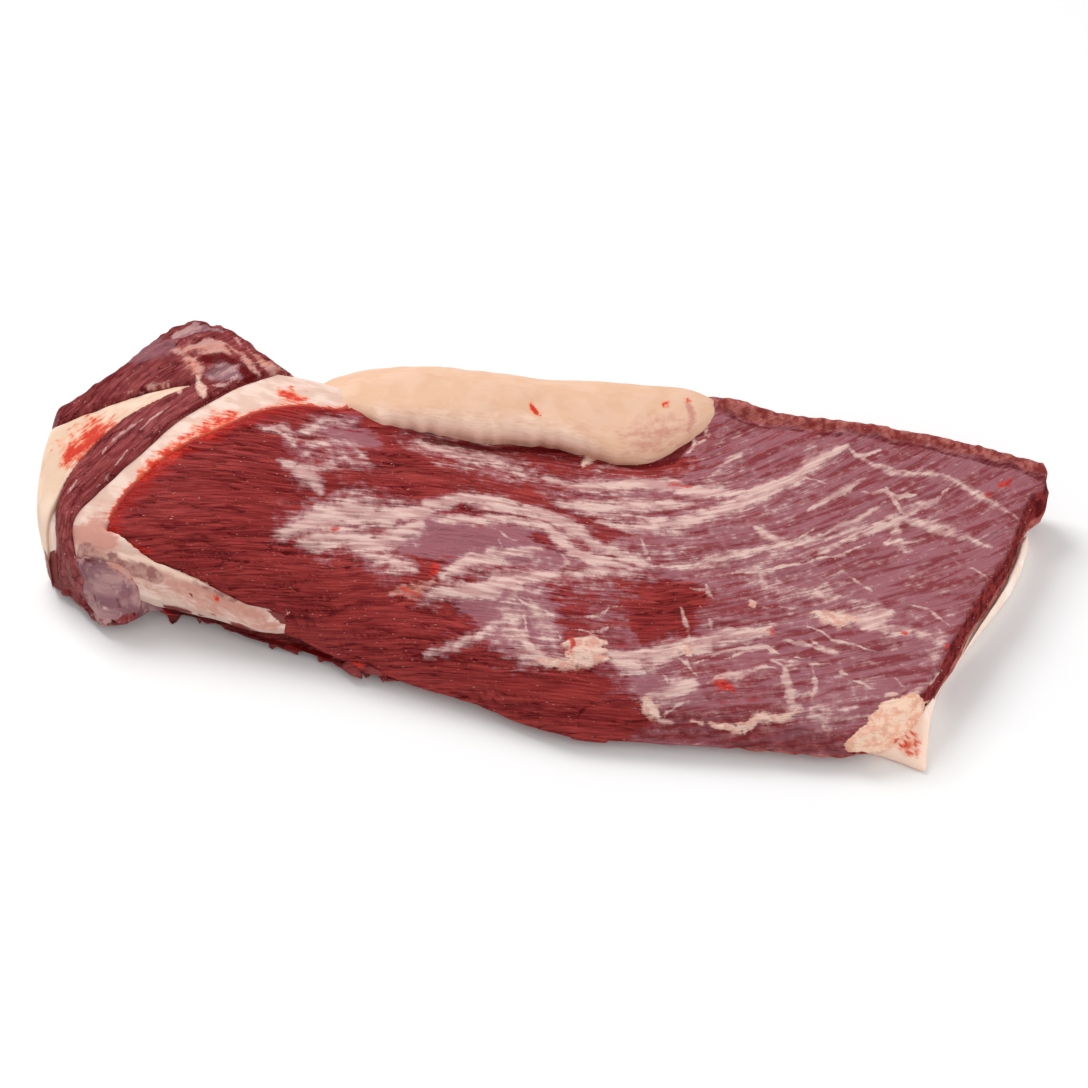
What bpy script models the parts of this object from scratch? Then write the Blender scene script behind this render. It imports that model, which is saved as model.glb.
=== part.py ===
"""A whole raw beef brisket, lying lean side up.

Two muscles lie on each other: the flat, which runs the whole length, and the point under its
thick end. A seam of fat parts them, a cap of fat covers the underside, a wedge of fat runs
into the folded end of the point, and a thick roll of fat lies along the rear edge.

Frame: +X runs from the thick point end to the thin cut end of the flat, +Y to the rear edge
with the roll of fat, +Z up. The origin is on the table, under the middle of the meat.
Lengths below are in millimetres.
"""

import math

import bmesh
import bpy
import numpy as np
from mathutils import Vector

MM = 0.001

# Place of the origin in the numbers below: the middle of the body, seen from above
MIDDLE = Vector((-0.7, 2.5, 0))

# Fit of the pieces: the gap between them, how many times that it is under a piece, and how far
# a cutter stands above its piece
GAP = 0.4
UNDER_GAPS = 1.75
CUTTER_LIFT = 6.0

# Height of the whole upper surface above the table, at stations 70 mm by 50 mm apart
STATION_X0, STATION_DX = -280.0, 70.0
STATION_Y0, STATION_DY = -130.0, 50.0
TOP_HEIGHTS = (
    (12, 14, 14, 12, 16, 20, 22, 20, 18),
    (18, 26, 26, 30, 38, 36, 33, 29, 24),
    (26, 50, 48, 50, 49, 42, 37, 34, 30),
    (44, 70, 73, 62, 50, 42, 39, 37, 34),
    (66, 82, 80, 52, 39, 39, 43, 41, 37),
    (80, 93, 82, 66, 50, 50, 50, 45, 40),
)

# Height of the flat's underside, at the same stations
UNDER_HEIGHTS = (
    (8, 8, 6, 5, 5, 5, 5, 5, 5),
    (12, 12, 5, 5, 6, 6, 6, 6, 6),
    (26, 34, 18, 10, 9, 8, 8, 8, 8),
    (44, 49, 44, 30, 18, 11, 9, 9, 9),
    (48, 52, 50, 38, 26, 16, 10, 9, 9),
    (50, 54, 52, 40, 28, 18, 11, 9, 9),
)

CAP_THICK = 9.0
SEAM_THICK = 9.0
SEAM_THIN = 4.0
FLAT_THIN = 5.0
WEDGE_DEEP = 30.0
RIM_HEIGHT = 4.5
STRIP_HEIGHT = 14.0
TONGUE_RISE = 15.0

# Distance of the first lines of a surface from its rim, so that the rounding there is smooth
EDGE_LINES = (0, 1, 3)
FRONT_LINES = (0, 2, 6, 12, 20)
CUT_LINES = (0, 1, 3.5, 8)

# Outlines seen from above, as front, rear, left and right edge of each layer
FLAT_EDGES = (
    ((-231, -3), (-207, -17), (-180, -27), (-155, -36), (-128, -45), (-92, -62), (-45, -82),
     (5, -106), (45, -111), (86, -115), (125, -120), (152, -121)),
    ((-101, 90), (-50, 95), (0, 98), (50, 105), (84, 118), (106, 109), (128, 101), (171, 94),
     (214, 86), (271, 68)),
    ((-231, -3), (-222, 11), (-210, 23), (-195, 35), (-174, 47), (-153, 60), (-132, 69),
     (-112, 75), (-101, 90)),
    ((152, -121), (172, -113), (187, -99), (196, -84), (205, -68), (221, -37), (240, -5), (250, 17),
     (259, 40), (271, 53), (271, 68)),
)
SEAM_EDGES = (
    ((-247, -8), (-228, -18), (-207, -22), (-180, -30), (-155, -39), (-138, -42), (-122, -38),
     (-92, -46), (-45, -55), (10, -58), (60, -50)),
    ((-146, 92), (-116, 92), (-50, 96), (20, 97), (84, 96)),
    ((-247, -8), (-250, 3), (-246, 13), (-228, 25), (-211, 39), (-197, 54), (-173, 72),
     (-146, 92)),
    ((60, -50), (78, 0), (88, 50), (84, 96)),
)
POINT_EDGES = (
    ((-261, 2), (-250, -10), (-241, -20), (-232, -26), (-224, -27), (-216, -23), (-205, -16),
     (-180, -22), (-155, -36), (-128, -45), (-110, -53), (-92, -64), (-70, -66), (-30, -62),
     (30, -50)),
    ((-273, 78), (-252, 89), (-231, 101), (-207, 124), (-191, 131), (-174, 127), (-159, 115),
     (-142, 100), (-120, 94), (-50, 93), (20, 92), (45, 88)),
    ((-261, 2), (-264, 25), (-265, 50), (-273, 78)),
    ((30, -50), (40, 0), (48, 45), (45, 88)),
)
CAP_EDGES = (
    ((-265, 6), (-250, 0), (-238, -9), (-220, -11), (-205, -5), (-180, -11), (-155, -24),
     (-128, -34), (-92, -50), (-45, -69), (5, -92), (76, -103), (150, -111), (187, -126)),
    ((-269, 68), (-245, 82), (-216, 101), (-190, 117), (-149, 98), (-119, 90), (-50, 90),
     (0, 92), (50, 97), (89, 106), (139, 92), (193, 82), (262, 60)),
    ((-265, 6), (-272, 24), (-272, 46), (-269, 68)),
    ((187, -126), (193, -96), (201, -70), (222, -36), (242, -6), (254, 16), (261, 38),
     (262, 60)),
)
WEDGE_EDGES = (
    ((-265, 4), (-262, 17), (-252, 36), (-233, 54), (-210, 67), (-192, 76)),
    ((-269, 66), (-245, 70), (-223, 74), (-192, 80)),
    ((-265, 4), (-272, 24), (-272, 46), (-269, 66)),
    ((-192, 76), (-190.5, 78), (-192, 80)),
)

# Front line of the whole body, over which its upper surface rounds off
BODY_FRONT = ((-262, 0), (-250, -12), (-241, -21), (-232, -27), (-224, -28), (-216, -25),
              (-207, -25), (-180, -33), (-155, -40), (-128, -49), (-92, -64), (-45, -83),
              (5, -107), (45, -112), (86, -116), (125, -121), (172, -123), (190, -127))
FRONT_ROUND = 22.0

# Roll of fat: its middle line, and the width, thickness and tilt in degrees of its section
ROLL_LINE = ((-128, 91, 65), (-102, 92, 62), (-54, 95, 57), (-5, 94, 51), (45, 91, 45),
             (76, 97, 43), (94, 106, 42))
ROLL_WIDTH = (10, 34, 40, 38, 48, 38, 10)
ROLL_THICK = (8, 20, 26, 25, 25, 18, 8)
ROLL_TILT = (8, 12, 22, 26, 27, 24, 18)


def smooth(low, high, value):
    """0 at low, 1 at high, and a soft step between them."""
    q = min(max((value - low) / (high - low), 0.0), 1.0)
    return q * q * (3 - 2 * q)


def through(values, place):
    """A smooth curve through evenly numbered values, at a place from 0 to count - 1."""
    last = len(values) - 1
    i = min(max(int(math.floor(place)), 0), last - 1)
    q = min(max(place - i, 0.0), 1.0)
    a, b, c, d = (values[min(max(k, 0), last)] for k in (i - 1, i, i + 1, i + 2))
    slope_b, slope_c = (c - a) / 2, (d - b) / 2
    return (
        b * (2 * q**3 - 3 * q**2 + 1)
        + slope_b * (q**3 - 2 * q**2 + q)
        + c * (3 * q**2 - 2 * q**3)
        + slope_c * (q**3 - q**2)
    )


def station_height(table, x, y):
    """A height read from a table of stations, smooth between them."""
    column, row = (x - STATION_X0) / STATION_DX, (y - STATION_Y0) / STATION_DY
    return through([through(line, column) for line in table], row)


def edge(points, moved):
    """A smooth edge through moved points, as a function of the share of its unmoved length."""
    lengths = np.linalg.norm(np.diff(np.array(points, float), axis=0), axis=1)
    reached = np.concatenate([[0], np.cumsum(lengths)]) / lengths.sum()
    columns = [[p[k] for p in moved] for k in range(2)]

    def at(share):
        place = np.interp(share, reached, np.arange(len(points)))
        return np.array([through(column, place) for column in columns])

    return at


def outset(edges, by):
    """The same four edges, moved outwards."""
    front, rear, left, right = edges
    loop = np.array((*front, *right[1:], *rear[-2::-1], *left[-2:0:-1]), float)
    along = np.roll(loop, -1, 0) - loop
    along /= np.linalg.norm(along, axis=1)[:, None]
    normals = np.stack([along[:, 1], -along[:, 0]], axis=1)
    mitres = normals + np.roll(normals, 1, 0)
    mitres *= 2 / np.maximum((mitres**2).sum(axis=1), 1.6)[:, None]
    moved = loop + by * mitres
    a, b, c = len(front), len(front) + len(right) - 1, len(front) + len(right) + len(rear) - 2
    return (moved[:a], moved[b - 1:c][::-1], np.vstack([moved[:1], moved[c - 1:][::-1]]),
            moved[a - 1:b])


def patch(edges, grow=0.0):
    """Plan position for (along, across), each from 0 to 1, inside four edges moved out by grow."""
    front, rear, left, right = map(edge, edges, outset(edges, grow))

    def at(s, t):
        sides = (1 - t) * front(s) + t * rear(s)
        ends = (1 - s) * left(t) + s * right(t)
        corners = (
            (1 - s) * (1 - t) * front(0)
            + s * (1 - t) * front(1)
            + (1 - s) * t * rear(0)
            + s * t * rear(1)
        )
        return sides + ends - corners

    return at


def line_y(points, x):
    """The y of a line of plan points at x."""
    return float(np.interp(x, [p[0] for p in points], [p[1] for p in points]))


def furrows(x, y):
    """Shallow furrows along the grain of the meat."""
    across = y + 0.10 * x + 6 * math.sin(x / 46)
    deep = 0.6 + 0.4 * math.sin(x / 31 + y / 19)
    return deep * (0.8 * math.sin(across / 4.4) + 0.7 * math.sin(across / 7.3 + 1.3))


def whole_top(x, y):
    """The upper surface of the whole brisket, with a raised rim along the bare rear edge."""
    from_edge = line_y(FLAT_EDGES[1], x) - y
    rim = RIM_HEIGHT * smooth(13, 7, from_edge) * smooth(85, 105, x)
    front = 0.35 + 0.65 * rounding(y - line_y(BODY_FRONT, x), FRONT_ROUND)
    return (station_height(TOP_HEIGHTS, x, y) + rim) * front


def flat_top(x, y):
    return whole_top(x, y) + furrows(x, y)


def flat_under(x, y):
    return min(station_height(UNDER_HEIGHTS, x, y), whole_top(x, y) - FLAT_THIN)


def seam_top(x, y):
    return whole_top(x, y) - 1.0


def seam_under(x, y):
    """The seam thins to the right, and hangs down over the front of the thick end."""
    thick = SEAM_THICK + (SEAM_THIN - SEAM_THICK) * smooth(-120, 60, x)
    below = flat_under(x, y) - thick
    hang = smooth(14, 4, y - line_y(SEAM_EDGES[0], x)) * smooth(-110, -140, x)
    hang *= smooth(-236, -204, x)
    below = max(below + (STRIP_HEIGHT - below) * hang, CAP_THICK + 3)
    return min(below, seam_top(x, y) - 3)


def point_top(x, y):
    """The point shows behind and left of the seam, and as a low ragged strip in front of it."""
    strip = smooth(14, 8, y - line_y(POINT_EDGES[0], x))
    strip *= smooth(-212, -200, x) * smooth(-50, -70, x)
    high = whole_top(x, y) + 1.5
    return high + (STRIP_HEIGHT - high) * strip


def point_under(x, y):
    """The point lies on the cap, and its ragged front edge hangs down in front of it."""
    return CAP_THICK - 5 * smooth(11, 6, y - line_y(POINT_EDGES[0], x))


def cap_top(x, y):
    """The cap comes up as a rim at the left and a tongue at the front right corner."""
    tongue = 4 + TONGUE_RISE * min(max((y + 126) / 30, 0.0), 1.0)
    low = CAP_THICK + 2
    low += (tongue - low) * smooth(145, 165, x) * smooth(-70, -85, y)
    rim = whole_top(x, y) - 4
    return rim + (low - rim) * smooth(-263, -245, x)


def cap_under(x, y):
    return 0.0


def wedge_top(x, y):
    return whole_top(x, y) - 3.0


def wedge_under(x, y):
    return whole_top(x, y) - WEDGE_DEEP


def spaced(count, length, first_lines, last_lines):
    """Shares from 0 to 1 along a length: given lines near each end, and count between them."""
    first = [q / length for q in first_lines]
    last = [1 - q / length for q in reversed(last_lines)]
    return first + list(np.linspace(first[-1], last[0], count + 2)[1:-1]) + last


def rounding(distance, radius):
    """How much of its height a rounded edge has reached at a distance from its rim."""
    q = min(max(distance / radius, 0.0), 1.0)
    return math.sqrt(max(1 - (1 - q) ** 2, 0.0))


class Layer:
    """A layer of the meat: its edges, its surfaces, and how its rims round off.

    radii are those of the left, right, front and rear rim, and shoulder is the share of the
    height at which the rounding of the upper surface begins.
    """

    def __init__(self, name, edges, surfaces, radii, shoulder, along, across,
                 front_lines=EDGE_LINES, right_lines=EDGE_LINES, foot=4.0):
        self.name, self.edges, self.radii = name, edges, radii
        self.top, self.under = surfaces
        self.shoulder, self.foot = shoulder, foot
        self.along, self.across = along, across
        self.front_lines, self.right_lines = front_lines, right_lines
        last = across + len(front_lines) + len(EDGE_LINES) - 1
        self.under_lines = (0, *range(2, last - 2, 3), last - 2, last)

    def rings(self, grow=0.0, lift=0.0):
        """Closed rings round the layer, one for each station along it."""
        plan = patch(self.edges)
        placed = patch(self.edges, grow)
        left, right, front, rear = self.radii
        length = np.linalg.norm(plan(1, 0.5) - plan(0, 0.5))
        width = np.linalg.norm(plan(0.5, 1) - plan(0.5, 0))
        over = spaced(self.across, width, self.front_lines, EDGE_LINES)
        below = [over[k] for k in self.under_lines]

        def point(s, t, upper):
            here = plan(s, t)
            gaps = [np.linalg.norm(here - plan(*other))
                    for other in ((0, t), (1, t), (s, 0), (s, 1))]
            high, low = self.top(*here), self.under(*here)
            sizes = (left, right, front, rear) if upper else (self.foot,) * 4
            full = math.prod(rounding(gap, size) for gap, size in zip(gaps, sizes))
            rim = low + (high - low) * (self.shoulder if upper else 0.12)
            face = high + grow + lift if upper else low - UNDER_GAPS * grow
            rim += grow if upper else -UNDER_GAPS * grow
            here += (placed(s, t) - here) * smooth(self.foot, 0, min(gaps))
            return (*here, rim + (face - rim) * full)

        rings = []
        for s in spaced(self.along, length, EDGE_LINES, self.right_lines):
            ring = [point(s, t, True) for t in over]
            ring += [point(s, t, False) for t in reversed(below)]
            rings.append(ring)
        return rings


LAYERS = (
    Layer("flat_muscle", FLAT_EDGES, (flat_top, flat_under), (1.5, 10, 3, 6), 0.35, 44, 19,
          front_lines=FRONT_LINES, right_lines=CUT_LINES),
    Layer("seam_fat", SEAM_EDGES, (seam_top, seam_under), (1.5, 3, 2, 2), 0.9, 22, 8),
    Layer("point_muscle", POINT_EDGES, (point_top, point_under), (9, 4, 5, 10), 0.35, 24, 13,
          foot=6.0),
    Layer("fat_cap", CAP_EDGES, (cap_top, cap_under), (6, 5, 6, 6), 0.5, 26, 7),
    Layer("wedge_fat", WEDGE_EDGES, (wedge_top, wedge_under), (5, 2, 2, 2), 0.7, 8, 3, foot=3.0),
)


def roll_rings(grow=0.0, along=28, around=18):
    """Sections of the roll of fat: flattened rounds, tilted so that the front lip hangs low."""
    rings = []
    count = len(ROLL_LINE) - 1
    for place in np.linspace(0, count, along):
        x, y, z = (through([p[k] for p in ROLL_LINE], place) for k in range(3))
        half_width = through(ROLL_WIDTH, place) / 2 + grow
        half_thick = through(ROLL_THICK, place) / 2 + grow
        tilt = math.radians(through(ROLL_TILT, place))
        x += grow * (2 * place / count - 1)
        ring = []
        for k in range(around):
            angle = 2 * math.pi * k / around
            out = math.copysign(abs(math.cos(angle)) ** 0.8, math.cos(angle)) * half_width
            up = math.copysign(abs(math.sin(angle)) ** 0.8, math.sin(angle)) * half_thick
            ring.append((
                x,
                y + out * math.cos(tilt) - up * math.sin(tilt),
                z + out * math.sin(tilt) + up * math.cos(tilt),
            ))
        rings.append(ring)
    return rings


def end_face(mesh, row, under_lines):
    """Closes one end of a layer with a strip between its upper and its under line.

    under_lines says which points of the upper line have a point of the under line below them.
    """
    count = len(row) - len(under_lines)
    upper, lower = row[:count], row[:count - 1:-1]
    k = 0
    for i in range(count - 1):
        mesh.faces.new((upper[i], upper[i + 1], lower[k]))
        if k + 1 < len(under_lines) and 2 * (i + 1) >= under_lines[k] + under_lines[k + 1]:
            mesh.faces.new((upper[i + 1], lower[k + 1], lower[k]))
            k += 1


def lofted(name, rings, home, under_lines=None):
    """A closed object through the rings, in order, with a face or a strip on each end."""
    mesh = bmesh.new()
    rows = [[mesh.verts.new((Vector(p) - MIDDLE) * MM) for p in ring] for ring in rings]
    for one, other in zip(rows, rows[1:]):
        for k in range(len(one)):
            n = (k + 1) % len(one)
            mesh.faces.new((one[k], one[n], other[n], other[k]))
    for row in (rows[0], rows[-1]):
        if under_lines:
            end_face(mesh, row, under_lines)
        else:
            mesh.faces.new(row)
    bmesh.ops.triangulate(mesh, faces=mesh.faces, quad_method="FIXED")
    bmesh.ops.recalc_face_normals(mesh, faces=mesh.faces)
    data = bpy.data.meshes.new(name)
    mesh.to_mesh(data)
    mesh.free()
    obj = bpy.data.objects.new(name, data)
    home.objects.link(obj)
    return obj


def material(name, colour, roughness):
    made = bpy.data.materials.new(name)
    made.use_nodes = True
    shader = made.node_tree.nodes["Principled BSDF"]
    shader.inputs["Base Color"].default_value = (*colour, 1)
    shader.inputs["Roughness"].default_value = roughness
    return made


def collection(name):
    made = bpy.data.collections.new(name)
    bpy.context.scene.collection.children.link(made)
    return made


def cutter(name, rings, home, under_lines=None):
    """A hidden body that cuts room for a piece into other pieces."""
    obj = lofted(name + "_cutter", rings, home, under_lines)
    obj.hide_render = True
    obj.display_type = "WIRE"
    return obj


def join_or_cut(obj, operation, *others):
    for other in others:
        step = obj.modifiers.new(f"{operation.lower()} {other.name}", "BOOLEAN")
        step.operation = operation
        step.solver = "EXACT"
        step.object = other


def clear_scene():
    for obj in list(bpy.data.objects):
        bpy.data.objects.remove(obj, do_unlink=True)


def build():
    clear_scene()
    parts, cutters = collection("beef_brisket"), collection("cutters")

    pieces = {x.name: lofted(x.name, x.rings(), parts, x.under_lines) for x in LAYERS}
    pieces["rear_fat_roll"] = lofted("rear_fat_roll", roll_rings(), parts)
    cuts = {x.name: cutter(x.name, x.rings(GAP, CUTTER_LIFT), cutters, x.under_lines)
            for x in LAYERS}
    cuts["rear_fat_roll"] = cutter("rear_fat_roll", roll_rings(GAP), cutters)

    # Each piece is cut by those that lie on it or in it
    roll, flat, seam, wedge, point = (
        cuts[x] for x in ("rear_fat_roll", "flat_muscle", "seam_fat", "wedge_fat",
                          "point_muscle"))
    join_or_cut(pieces["flat_muscle"], "DIFFERENCE", roll)
    join_or_cut(pieces["seam_fat"], "DIFFERENCE", roll, flat)
    join_or_cut(pieces["point_muscle"], "DIFFERENCE", roll, flat, seam, wedge)
    join_or_cut(pieces["fat_cap"], "DIFFERENCE", roll, flat, seam, point)

    # The wedge is one body with the cap
    wedge = pieces.pop("wedge_fat")
    join_or_cut(pieces["fat_cap"], "UNION", wedge)
    parts.objects.unlink(wedge)
    cutters.objects.link(wedge)
    wedge.hide_render = True
    wedge.display_type = "WIRE"

    lean = material("lean", (0.30, 0.045, 0.045), 0.45)
    fat = material("fat", (0.85, 0.60, 0.42), 0.5)
    for name, obj in pieces.items():
        obj.data.materials.append(lean if "muscle" in name else fat)


build()
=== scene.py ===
"""Looks of a whole raw beef brisket, lying lean side up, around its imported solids.

Finer pieces of the same form replace the solids. Lengths are in millimetres up to the meshes.
Marks that the photograph shows are placed by its pixels and then lie on the pieces.
"""

import math

import bpy
import numpy as np
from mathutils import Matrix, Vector


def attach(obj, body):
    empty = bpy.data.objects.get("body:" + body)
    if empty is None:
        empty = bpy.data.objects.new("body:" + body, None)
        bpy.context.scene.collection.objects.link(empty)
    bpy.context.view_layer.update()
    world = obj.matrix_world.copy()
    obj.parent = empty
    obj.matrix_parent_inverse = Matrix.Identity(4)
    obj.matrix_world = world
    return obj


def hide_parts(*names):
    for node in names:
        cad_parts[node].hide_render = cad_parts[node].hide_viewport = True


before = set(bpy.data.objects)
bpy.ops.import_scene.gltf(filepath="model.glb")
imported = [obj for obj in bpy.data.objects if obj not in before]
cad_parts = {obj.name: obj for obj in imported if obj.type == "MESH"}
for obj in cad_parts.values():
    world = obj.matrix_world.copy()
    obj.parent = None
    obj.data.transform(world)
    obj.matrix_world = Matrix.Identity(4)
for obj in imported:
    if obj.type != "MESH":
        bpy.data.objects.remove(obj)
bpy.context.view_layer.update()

MM = 0.001
MIDDLE = np.array((-0.7, 2.5, 0.0))

# The photograph's camera
PHOTO = 1088
LENS, SENSOR = 85.0, 36.0
CAMERA_TILT = math.radians(42)
CAMERA_TARGET = np.array((-2.5, 11.0, 30.0))
MM_A_PIXEL = 0.53
CAMERA_DISTANCE = PHOTO * MM_A_PIXEL * LENS / SENSOR
AHEAD = np.array((0.0, math.cos(CAMERA_TILT), -math.sin(CAMERA_TILT)))
ACROSS = np.array((1.0, 0.0, 0.0))
UPWARD = np.cross(ACROSS, AHEAD)
CAMERA_PLACE = CAMERA_TARGET - CAMERA_DISTANCE * AHEAD
FOCAL = LENS / SENSOR * PHOTO

# Form, as in the solids
STATION_X0, STATION_DX = -280.0, 70.0
STATION_Y0, STATION_DY = -130.0, 50.0
TOP_HEIGHTS = (
    (12, 14, 14, 12, 16, 20, 22, 20, 18),
    (18, 26, 26, 30, 38, 36, 33, 29, 24),
    (26, 50, 48, 50, 49, 42, 37, 34, 30),
    (44, 70, 73, 62, 50, 42, 39, 37, 34),
    (66, 82, 80, 52, 39, 39, 43, 41, 37),
    (80, 93, 82, 66, 50, 50, 50, 45, 40),
)
UNDER_HEIGHTS = (
    (8, 8, 6, 5, 5, 5, 5, 5, 5),
    (12, 12, 5, 5, 6, 6, 6, 6, 6),
    (26, 34, 18, 10, 9, 8, 8, 8, 8),
    (44, 49, 44, 30, 18, 11, 9, 9, 9),
    (48, 52, 50, 38, 26, 16, 10, 9, 9),
    (50, 54, 52, 40, 28, 18, 11, 9, 9),
)
CAP_THICK = 9.0
SEAM_THICK = 9.0
SEAM_THIN = 4.0
FLAT_THIN = 5.0
WEDGE_DEEP = 30.0
RIM_HEIGHT = 4.5
STRIP_HEIGHT = 14.0
TONGUE_RISE = 15.0
FRONT_ROUND = 22.0
FLAT_EDGES = (
    ((-231, -3), (-207, -17), (-180, -27), (-155, -36), (-128, -45), (-92, -62), (-45, -82),
     (5, -106), (45, -111), (86, -115), (125, -120), (152, -121)),
    ((-101, 90), (-50, 95), (0, 98), (50, 105), (84, 118), (106, 109), (128, 101), (171, 94),
     (214, 86), (271, 68)),
    ((-231, -3), (-222, 11), (-210, 23), (-195, 35), (-174, 47), (-153, 60), (-132, 69),
     (-112, 75), (-101, 90)),
    ((152, -121), (172, -113), (187, -99), (196, -84), (205, -68), (221, -37), (240, -5), (250, 17),
     (259, 40), (271, 53), (271, 68)),
)
SEAM_EDGES = (
    ((-247, -8), (-228, -18), (-207, -22), (-180, -30), (-155, -39), (-138, -42), (-122, -38),
     (-92, -46), (-45, -55), (10, -58), (60, -50)),
    ((-146, 92), (-116, 92), (-50, 96), (20, 97), (84, 96)),
    ((-247, -8), (-250, 3), (-246, 13), (-228, 25), (-211, 39), (-197, 54), (-173, 72),
     (-146, 92)),
    ((60, -50), (78, 0), (88, 50), (84, 96)),
)
POINT_EDGES = (
    ((-261, 2), (-250, -10), (-241, -20), (-232, -26), (-224, -27), (-216, -23), (-205, -16),
     (-180, -22), (-155, -36), (-128, -45), (-110, -53), (-92, -64), (-70, -66), (-30, -62),
     (30, -50)),
    ((-273, 78), (-252, 89), (-231, 101), (-207, 124), (-191, 131), (-174, 127), (-159, 115),
     (-142, 100), (-120, 94), (-50, 93), (20, 92), (45, 88)),
    ((-261, 2), (-264, 25), (-265, 50), (-273, 78)),
    ((30, -50), (40, 0), (48, 45), (45, 88)),
)
CAP_EDGES = (
    ((-265, 6), (-250, 0), (-238, -9), (-220, -11), (-205, -5), (-180, -11), (-155, -24),
     (-128, -34), (-92, -50), (-45, -69), (5, -92), (76, -103), (150, -111), (187, -126)),
    ((-269, 68), (-245, 82), (-216, 101), (-190, 117), (-149, 98), (-119, 90), (-50, 90),
     (0, 92), (50, 97), (89, 106), (139, 92), (193, 82), (262, 60)),
    ((-265, 6), (-272, 24), (-272, 46), (-269, 68)),
    ((187, -126), (193, -96), (201, -70), (222, -36), (242, -6), (254, 16), (261, 38),
     (262, 60)),
)
WEDGE_EDGES = (
    ((-265, 4), (-262, 17), (-252, 36), (-233, 54), (-210, 67), (-192, 76)),
    ((-269, 66), (-245, 70), (-223, 74), (-192, 80)),
    ((-265, 4), (-272, 24), (-272, 46), (-269, 66)),
    ((-192, 76), (-190.5, 78), (-192, 80)),
)
BODY_FRONT = ((-262, 0), (-250, -12), (-241, -21), (-232, -27), (-224, -28), (-216, -25),
              (-207, -25), (-180, -33), (-155, -40), (-128, -49), (-92, -64), (-45, -83),
              (5, -107), (45, -112), (86, -116), (125, -121), (172, -123), (190, -127))
ROLL_LINE = ((-128, 91, 65), (-102, 92, 62), (-54, 95, 57), (-5, 94, 51), (45, 91, 45),
             (76, 97, 43), (94, 106, 42))
ROLL_WIDTH = (10, 34, 40, 38, 48, 38, 10)
ROLL_THICK = (8, 20, 26, 25, 25, 18, 8)
ROLL_TILT = (8, 12, 22, 26, 27, 24, 18)

# Lines down each wall of a piece, the spacing of those underneath, the share of the thickness
# that its lower edges keep, and how far its upper surface may go down past its edge
WALLS = 3
UNDER_STEP = 12
FOOT_SHARE = 0.12
DIVE_LIMIT = 2.0

# Where the grain of the point bends, its hump and its nose, and a distance past all bleeding
BEND_X = -150.0
HUMP_MIDDLE = (-188, 118)
NOSE_MIDDLE = (-236, -14)
FAR = 99.0

# Scraps of lean that hang from the front: photograph pixels of root and tip, width in mm
SCRAPS = (
    ((169, 602), (171, 631), 11), ((181, 606), (176, 618), 7), ((204, 612), (197, 622), 6),
    ((266, 634), (272, 648), 8), ((278, 640), (274, 650), 6), ((287, 640), (296, 657), 9),
    ((318, 652), (322, 662), 6), ((352, 660), (362, 677), 10), ((366, 666), (364, 678), 7),
    ((380, 670), (386, 680), 6), ((426, 686), (432, 695), 7),
)


def smooth(low, high, value):
    """0 at low, 1 at high, and a soft step between them."""
    q = np.clip((np.asarray(value, float) - low) / (high - low), 0.0, 1.0)
    return q * q * (3 - 2 * q)


def rounding(distance, radius):
    """How much of its height a rounded edge has reached at a distance from its rim."""
    q = np.clip(distance / radius, 0.0, 1.0)
    return np.sqrt(np.maximum(1 - (1 - q) ** 2, 0.0))


def curve(a, b, c, d, q):
    """A smooth curve from b to c, at q from 0 to 1, with a and d beyond them."""
    return (
        b * (2 * q**3 - 3 * q**2 + 1)
        + (c - a) / 2 * (q**3 - 2 * q**2 + q)
        + c * (3 * q**2 - 2 * q**3)
        + (d - b) / 2 * (q**3 - q**2)
    )


def through(values, place):
    """A smooth curve through evenly numbered values, at places from 0 to count - 1."""
    values = np.asarray(values, float)
    place = np.asarray(place, float)
    last = len(values) - 1
    i = np.clip(np.floor(place).astype(int), 0, last - 1)
    q = np.clip(place - i, 0.0, 1.0)
    if values.ndim > 1:
        q = q[..., None]
    return curve(*(values[np.clip(i + k, 0, last)] for k in (-1, 0, 1, 2)), q)


def station_height(table, x, y):
    """A height read from a table of stations, smooth between them."""
    column, row = (x - STATION_X0) / STATION_DX, (y - STATION_Y0) / STATION_DY
    lines = np.stack([through(line, column) for line in table])
    last = len(table) - 1
    i = np.clip(np.floor(row).astype(int), 0, last - 1)
    q = np.clip(row - i, 0.0, 1.0)

    def line(k):
        return np.take_along_axis(lines, np.clip(i + k, 0, last)[None], 0)[0]

    return curve(line(-1), line(0), line(1), line(2), q)


def edge(points):
    """A smooth edge through points, as a function of the share of its length."""
    points = np.array(points, float)
    lengths = np.linalg.norm(np.diff(points, axis=0), axis=1)
    reached = np.concatenate([[0], np.cumsum(lengths)]) / lengths.sum()
    numbers = np.arange(len(points))
    return lambda share: through(points, np.interp(share, reached, numbers))


def patch(edges):
    """Plan positions for (along, across), each from 0 to 1, inside four edges."""
    front, rear, left, right = map(edge, edges)

    def at(s, t):
        s, t = np.broadcast_arrays(s, t)
        p, q = s[..., None], t[..., None]
        sides = (1 - q) * front(s) + q * rear(s)
        ends = (1 - p) * left(t) + p * right(t)
        corners = (
            (1 - p) * (1 - q) * front(0)
            + p * (1 - q) * front(1)
            + (1 - p) * q * rear(0)
            + p * q * rear(1)
        )
        return sides + ends - corners

    return at


def line_y(points, x):
    """The y of a line of plan points at x."""
    points = np.array(points, float)
    return np.interp(x, points[:, 0], points[:, 1])


def furrows(x, y):
    """Shallow furrows along the grain of the meat."""
    across = y + 0.10 * x + 6 * np.sin(x / 46)
    deep = 0.6 + 0.4 * np.sin(x / 31 + y / 19)
    return deep * (0.8 * np.sin(across / 4.4) + 0.7 * np.sin(across / 7.3 + 1.3))


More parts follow.
